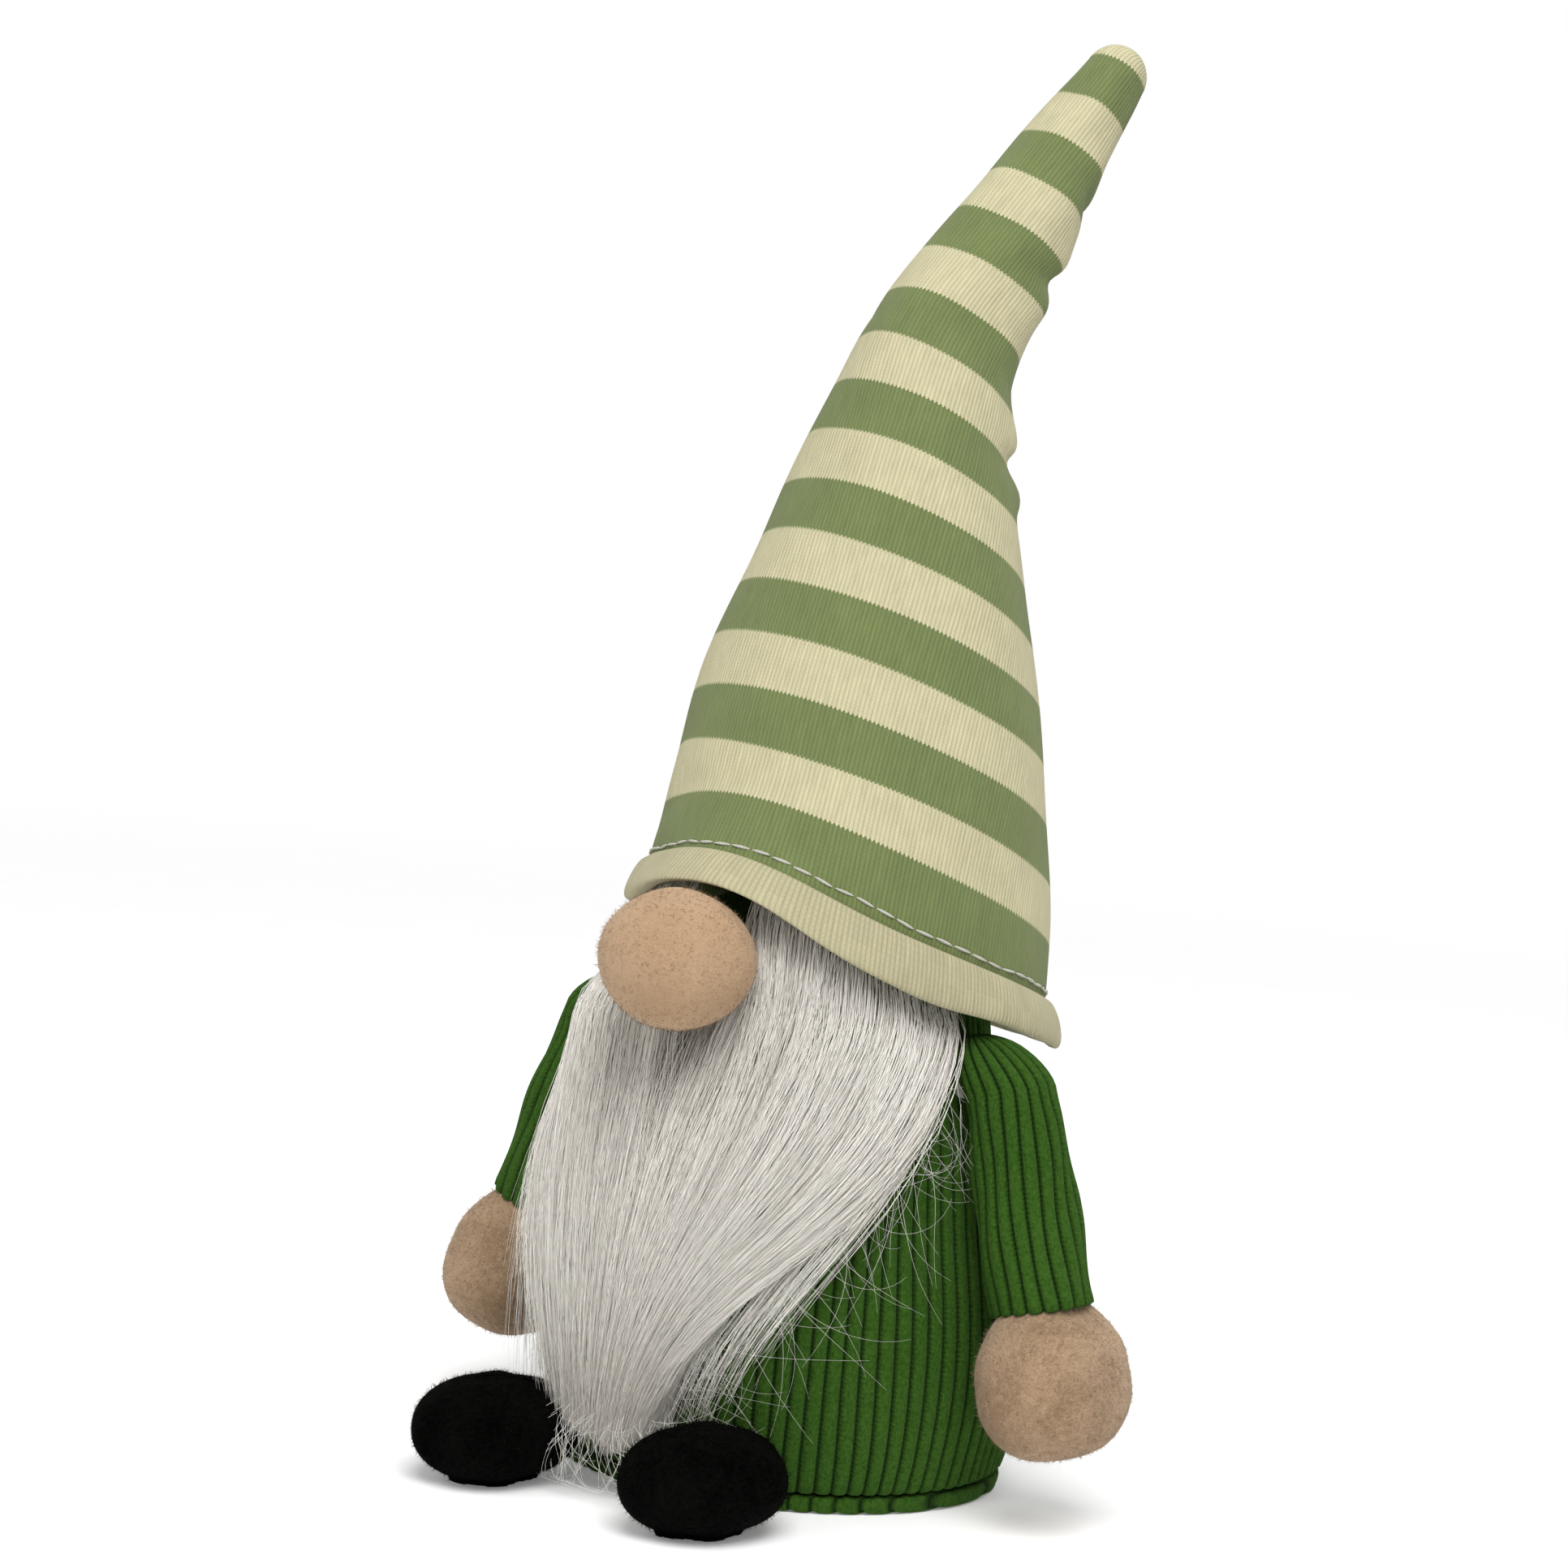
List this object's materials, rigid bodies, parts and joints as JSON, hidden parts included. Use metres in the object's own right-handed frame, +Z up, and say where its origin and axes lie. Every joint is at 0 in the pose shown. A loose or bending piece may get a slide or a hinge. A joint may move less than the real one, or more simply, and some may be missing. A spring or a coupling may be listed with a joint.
{
  "type": "tomte gnome figurine",
  "caption": "Soft stuffed gnome with a tall striped bent hat, round nose, long fur beard, ribbed body, hanging arms and small feet; stands on its flat base.",
  "frame": {"origin": "centre of the flat round base, on the floor", "axes": "+Z up; the gnome faces -Y; +X is the gnome's left"},
  "size_m": [0.1552, 0.1719, 0.2951],
  "materials": {
    "body_corduroy": "matte",
    "hat_jersey_green": "matte",
    "hat_jersey_cream": "matte",
    "beard_fur": "matte",
    "knit_backing": "matte",
    "nose_fleece": "matte",
    "hand_felt": "matte",
    "foot_fleece": "matte",
    "polyester_wadding": "matte",
    "pellet_bag": "matte",
    "stiffener_board": "matte",
    "stitch_thread": "matte"
  },
  "bodies": {
    "torso": {"base_panel": "body_corduroy", "base_stiffener": "stiffener_board", "pellet_bag": "pellet_bag", "body_shell": "body_corduroy", "body_stuffing": "polyester_wadding", "nose_cover": "nose_fleece", "nose_stuffing": "polyester_wadding", "beard_band": "knit_backing", "beard_band_pile": "beard_fur", "hat_hem_band": "hat_jersey_cream", "hem_topstitch": "stitch_thread", "hat_lower": "hat_jersey_green", "hat_stuffing_lower": "polyester_wadding", "hat_fold": "hat_jersey_green"},
    "hat_top": {"hat_upper": "hat_jersey_green", "hat_stuffing_upper": "polyester_wadding"},
    "beard": {"beard_backing": "knit_backing", "beard_pile": "beard_fur"},
    "left_shoulder": {"left_shoulder_tack": "stitch_thread"},
    "left_arm": {"left_sleeve": "body_corduroy", "left_hand": "hand_felt", "left_arm_stuffing": "polyester_wadding"},
    "right_shoulder": {"right_shoulder_tack": "stitch_thread"},
    "right_arm": {"right_sleeve": "body_corduroy", "right_hand": "hand_felt", "right_arm_stuffing": "polyester_wadding"},
    "left_foot": {"left_foot_upper": "foot_fleece", "left_foot_sole": "foot_fleece", "left_foot_stuffing": "polyester_wadding"},
    "right_foot": {"right_foot_upper": "foot_fleece", "right_foot_sole": "foot_fleece", "right_foot_stuffing": "polyester_wadding"}
  },
  "joints": [
    {"name": "hat_bend", "type": "hinge", "parent": "torso", "child": "hat_top", "pos_m": [-0.01117, 0.0393, 0.22662], "axis": [1, 0, 0], "range_deg": [-25, 35], "deforming": ["hat_fold"]},
    {"name": "beard_lift", "type": "hinge", "parent": "torso", "child": "beard", "pos_m": [0, -0.0412, 0.079], "axis": [-1, 0, 0], "range_deg": [0, 45], "deforming": ["beard_pile", "beard_band_pile"]},
    {"name": "left_arm_swing", "type": "hinge", "parent": "torso", "child": "left_shoulder", "pos_m": [0.04878, -0.004, 0.0845], "axis": [-1, 0, 0], "range_deg": [-50, 80]},
    {"name": "left_arm_lift", "type": "hinge", "parent": "left_shoulder", "child": "left_arm", "pos_m": [0.04878, -0.004, 0.0845], "axis": [0, -1, 0], "range_deg": [0, 60]},
    {"name": "right_arm_swing", "type": "hinge", "parent": "torso", "child": "right_shoulder", "pos_m": [-0.04878, -0.004, 0.0845], "axis": [-1, 0, 0], "range_deg": [-50, 80]},
    {"name": "right_arm_lift", "type": "hinge", "parent": "right_shoulder", "child": "right_arm", "pos_m": [-0.04878, -0.004, 0.0845], "axis": [0, 1, 0], "range_deg": [0, 60]},
    {"name": "left_foot_lift", "type": "hinge", "parent": "torso", "child": "left_foot", "pos_m": [0.025, -0.04539, 0.00918], "axis": [-1, 0, 0], "range_deg": [0, 30]},
    {"name": "right_foot_lift", "type": "hinge", "parent": "torso", "child": "right_foot", "pos_m": [-0.025, -0.04539, 0.00918], "axis": [-1, 0, 0], "range_deg": [0, 30]}
  ]
}
